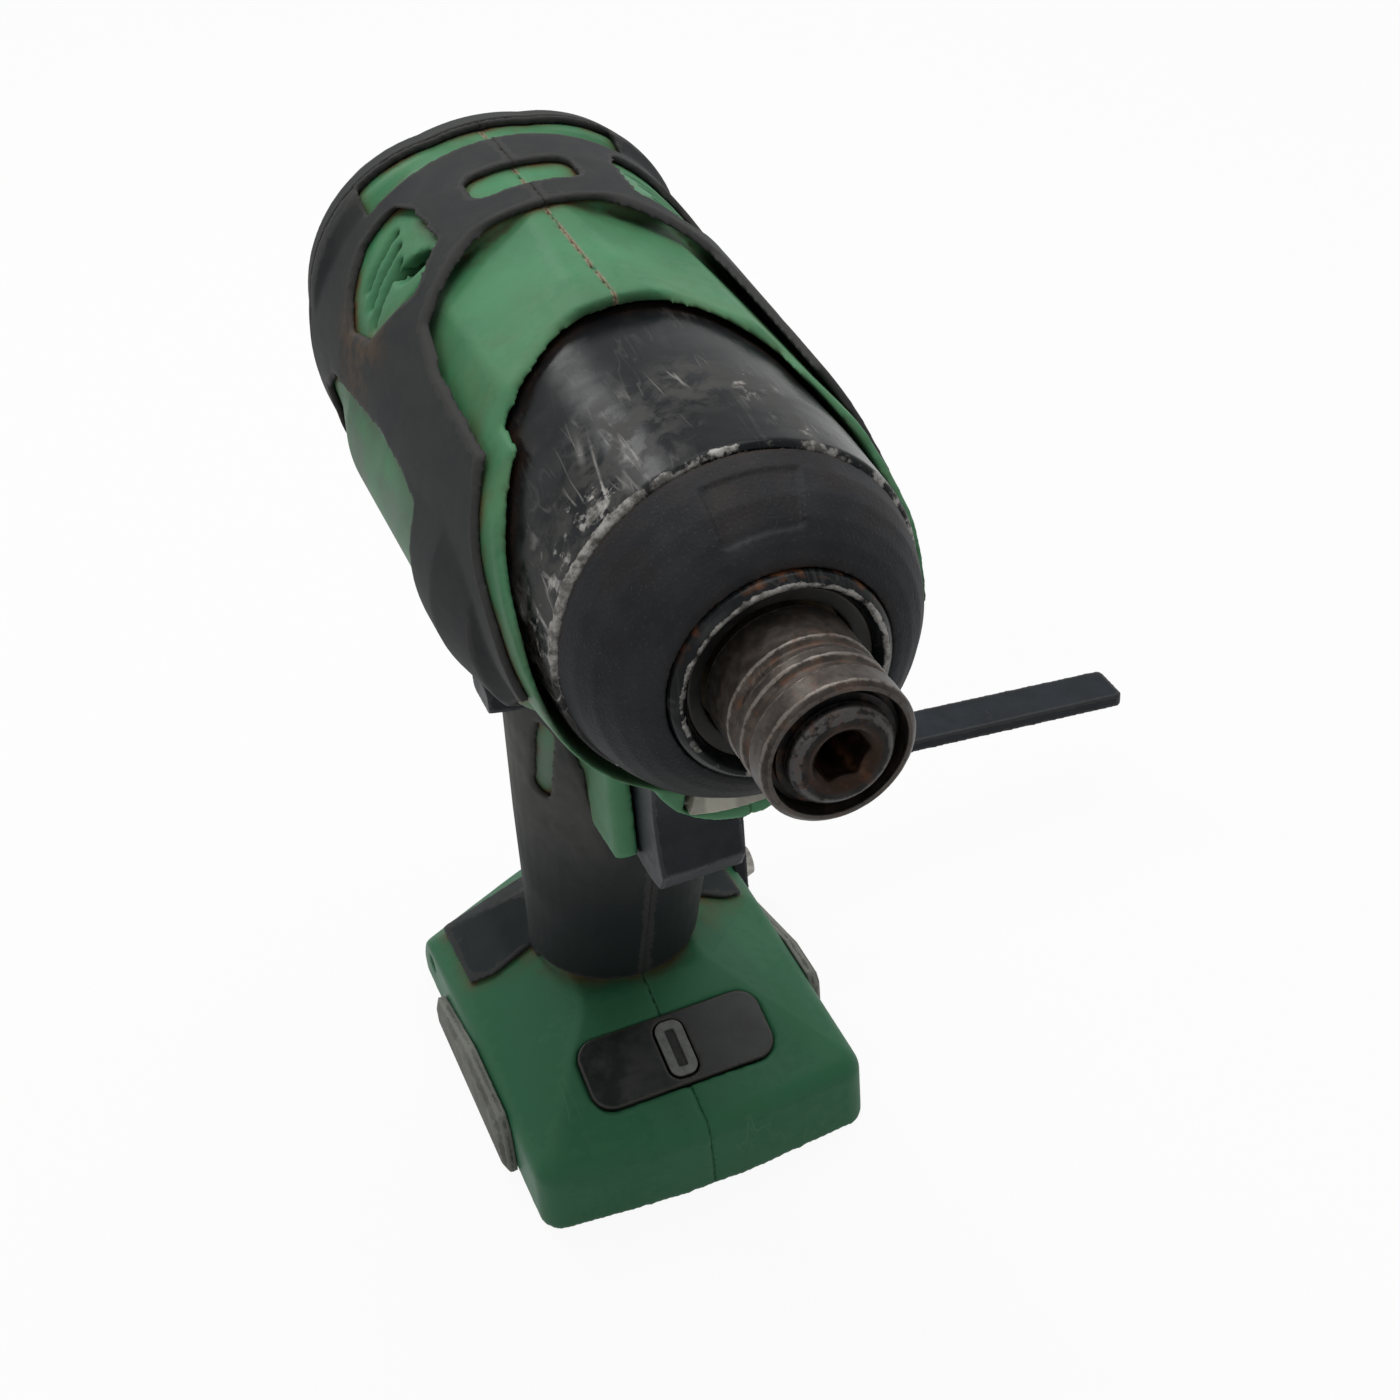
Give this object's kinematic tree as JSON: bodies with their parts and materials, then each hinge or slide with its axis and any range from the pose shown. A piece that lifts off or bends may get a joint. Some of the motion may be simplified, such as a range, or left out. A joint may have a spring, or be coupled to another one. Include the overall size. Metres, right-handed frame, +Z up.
{
  "type": "impact driver",
  "caption": "Cordless pistol-grip impact driver without battery, with hex bit sleeve, hammer gearbox, trigger, direction lever, mode panel and side belt hook.",
  "frame": {"origin": "centre of the foot's underside, where the battery slides in", "axes": "+Z up, the nose and bit socket point along -Y, +X is the tool's left side, where the belt hook stands out"},
  "size_m": [0.1557, 0.1442, 0.1783],
  "materials": {
    "green_shell": "scuffed, slightly glossy",
    "soft_black": "matt, dusty",
    "bumper_black": "matt, fine texture",
    "case_black": "glossy, scratched, bare at the edge",
    "sleeve_steel": "dark, brown and worn",
    "anvil_steel": "dark, worn bright at the edges",
    "steel": "satin",
    "bronze": "satin",
    "iron": "satin",
    "alloy": "cast",
    "copper": "enamelled",
    "magnet": "plated",
    "control_black": "satin",
    "panel_black": "smooth",
    "button_grey": "matt",
    "lens_cream": "clouded",
    "board_green": "lacquered",
    "inner_black": "moulded",
    "fan_white": "moulded",
    "seal_black": "greasy",
    "plate_black": "matt, dirty",
    "hook_black": "satin",
    "wire_red": "insulation"
  },
  "bodies": {
    "tool": {"housing_left": "green_shell", "housing_right": "green_shell", "overmould_left": "soft_black", "overmould_right": "soft_black", "rear_cap": "soft_black", "hammer_case": "case_black", "front_bumper": "bumper_black", "nose_seal": "seal_black", "anvil_bushing": "bronze", "ring_gear": "iron", "gearbox_cover": "alloy", "spindle_bearing": "steel", "front_motor_bearing": "steel", "rear_motor_bearing": "steel", "sensor_board": "board_green", "stator": "iron", "windings": "copper", "switch_body": "inner_black", "led_board": "board_green", "led_lens": "lens_cream", "control_board": "board_green", "control_panel": "panel_black", "terminal_block": "inner_black", "side_plates": "plate_black", "belt_hook": "hook_black", "hook_screw": "steel", "housing_screws": "steel", "rear_cap_screws": "steel", "case_screws": "steel", "motor_leads": "wire_red", "trigger_spring": "steel"},
    "spindle": {"spindle": "steel", "planet_pins": "steel", "cam_balls": "steel", "spring_washer": "steel", "hammer_spring": "steel"},
    "planet_left": {"planet_gear_left": "steel"},
    "planet_right": {"planet_gear_right": "steel"},
    "hammer": {"hammer": "iron"},
    "rotor": {"rotor": "steel", "rotor_magnets": "magnet", "cooling_fan": "fan_white"},
    "anvil": {"anvil": "anvil_steel", "detent_balls": "steel", "retaining_ring": "steel", "sleeve_washer": "anvil_steel", "sleeve_spring": "steel"},
    "sleeve": {"bit_sleeve": "sleeve_steel"},
    "trigger": {"trigger": "control_black"},
    "lever": {"direction_lever": "control_black"},
    "button": {"mode_button": "button_grey"}
  },
  "joints": [
    {"name": "spindle_spin", "type": "hinge", "parent": "tool", "child": "spindle", "pos_m": [0, -0.027, 0.1465], "axis": [0, 1, 0], "continuous": true},
    {"name": "rotor_spin", "type": "hinge", "parent": "tool", "child": "rotor", "pos_m": [0, 0.007, 0.1465], "axis": [0, 1, 0], "continuous": true},
    {"name": "planet_left_spin", "type": "hinge", "parent": "spindle", "child": "planet_left", "pos_m": [0.012, -0.02, 0.1465], "axis": [0, 1, 0], "continuous": true},
    {"name": "planet_right_spin", "type": "hinge", "parent": "spindle", "child": "planet_right", "pos_m": [-0.012, -0.02, 0.1465], "axis": [0, 1, 0], "continuous": true},
    {"name": "anvil_spin", "type": "hinge", "parent": "tool", "child": "anvil", "pos_m": [0, -0.075, 0.1465], "axis": [0, 1, 0], "continuous": true},
    {"name": "hammer_slide", "type": "slide", "parent": "spindle", "child": "hammer", "axis": [0, 1, 0], "range_m": [0, 0.008], "stiffness_N_per_m": 6000, "springref_m": -0.003, "deforming": ["hammer_spring"]},
    {"name": "sleeve_slide", "type": "slide", "parent": "anvil", "child": "sleeve", "axis": [0, -1, 0], "range_m": [0, 0.0035], "stiffness_N_per_m": 800, "springref_m": -0.002, "deforming": ["sleeve_spring"]},
    {"name": "trigger_slide", "type": "slide", "parent": "tool", "child": "trigger", "axis": [0, 1, 0], "range_m": [0, 0.006], "stiffness_N_per_m": 700, "springref_m": -0.003, "deforming": ["trigger_spring"]},
    {"name": "lever_slide", "type": "slide", "parent": "tool", "child": "lever", "axis": [1, 0, 0], "range_m": [-0.0025, 0.0025]},
    {"name": "button_press", "type": "slide", "parent": "tool", "child": "button", "axis": [0, 0.3393, -0.9407], "range_m": [0, 0.0008], "stiffness_N_per_m": 400, "springref_m": -0.0008}
  ],
  "couplings": [
    {"joint": "rotor_spin", "follows": "spindle_spin", "ratio": 6},
    {"joint": "planet_left_spin", "follows": "spindle_spin", "ratio": -2.5},
    {"joint": "planet_right_spin", "follows": "spindle_spin", "ratio": -2.5},
    {"joint": "anvil_spin", "follows": "spindle_spin", "ratio": 1}
  ]
}
